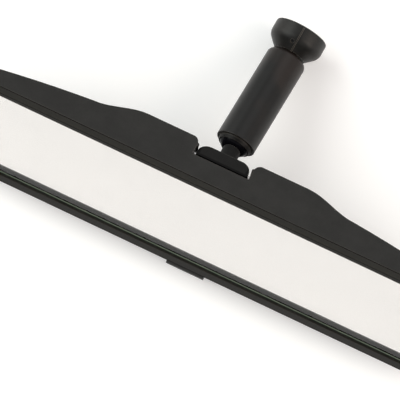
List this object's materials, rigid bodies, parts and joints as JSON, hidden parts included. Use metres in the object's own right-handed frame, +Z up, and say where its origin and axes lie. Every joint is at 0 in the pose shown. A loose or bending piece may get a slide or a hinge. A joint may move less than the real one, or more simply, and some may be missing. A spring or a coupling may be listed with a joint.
{
  "type": "interior rear-view mirror",
  "caption": "Day/night interior rear-view mirror: wide framed prism glass with a flip lever, on a double-ball arm that ends in a bell-shaped windscreen foot.",
  "frame": {"origin": "centre of the flat floor of the foot's socket, where the windscreen button sits", "axes": "+X along the mirror's long side, glass facing -Y, +Z up the glass's short side; the rest pose has the arm pitched 12.5 degrees and the foot 22.7 degrees above +Y"},
  "size_m": [0.25, 0.0988, 0.0932],
  "materials": {
    "case_plastic": "fine-grained black",
    "bezel_plastic": "satin black",
    "black_casting": "satin black coating on a zinc casting",
    "black_tube": "satin black coating on steel",
    "bell_plastic": "satin black",
    "ball_plastic": "gloss black",
    "nylon": "dark grey nylon",
    "steel": "plain",
    "spring_steel": "plain",
    "mirror_glass": "polished, silvered behind",
    "silver": "silvered",
    "foam": "soft grey foam",
    "lever_plastic": "satin black"
  },
  "bodies": {
    "foot": {"foot_bell": "bell_plastic", "foot_set_screw": "steel", "button_snap_ring": "spring_steel", "upper_ball": "ball_plastic"},
    "upper_seat": {"upper_ball_liner": "nylon"},
    "arm": {"arm_tube": "black_tube", "arm_spring": "spring_steel", "upper_pressure_cup": "nylon"},
    "lower_seat": {"lower_pressure_cup": "nylon"},
    "lower_swivel": {"lower_ball_liner": "nylon"},
    "bracket": {"pivot_bracket": "black_casting", "lower_ball": "ball_plastic", "tail_pin": "steel"},
    "head": {"rear_case": "case_plastic", "bezel": "bezel_plastic", "prism_glass": "mirror_glass", "silver_backing": "silver", "foam_pad": "foam", "tilt_axle": "steel", "axle_clip_left": "spring_steel", "axle_clip_right": "spring_steel", "lever_pin": "steel", "detent_leaf": "spring_steel", "leaf_screw_left": "steel", "leaf_screw_right": "steel"},
    "lever": {"flip_lever": "lever_plastic"}
  },
  "joints": [
    {"name": "foot_tilt", "type": "hinge", "parent": "foot", "child": "upper_seat", "pos_m": [-0.00078, -0.01123, -0.00471], "axis": [1, 0, 0], "range_deg": [-7, 29]},
    {"name": "foot_swing", "type": "hinge", "parent": "upper_seat", "child": "arm", "pos_m": [-0.00078, -0.01123, -0.00471], "axis": [-0.0136, -0.216, 0.9763], "range_deg": [-18, 18]},
    {"name": "arm_spin", "type": "hinge", "parent": "arm", "child": "lower_seat", "pos_m": [-0.00326, -0.05049, -0.01343], "axis": [0.0613, 0.9744, 0.2164], "range_deg": [-40, 40]},
    {"name": "mirror_swing", "type": "hinge", "parent": "lower_seat", "child": "lower_swivel", "pos_m": [-0.00326, -0.05049, -0.01343], "axis": [-0.0136, -0.216, 0.9763], "range_deg": [-20, 20]},
    {"name": "mirror_tilt", "type": "hinge", "parent": "lower_swivel", "child": "bracket", "pos_m": [-0.00326, -0.05049, -0.01343], "axis": [1, 0, 0], "range_deg": [-7.5, 32.5]},
    {"name": "day_night_tilt", "type": "hinge", "parent": "bracket", "child": "head", "pos_m": [-0.00326, -0.06989, -0.01093], "axis": [1, 0, 0], "range_deg": [0, 4.5]},
    {"name": "lever_flip", "type": "hinge", "parent": "head", "child": "lever", "pos_m": [-0.00326, -0.07257, -0.06045], "axis": [1, 0, 0], "range_deg": [0, 36]}
  ],
  "couplings": [
    {"joint": "lever_flip", "follows": "day_night_tilt", "ratio": 8}
  ]
}
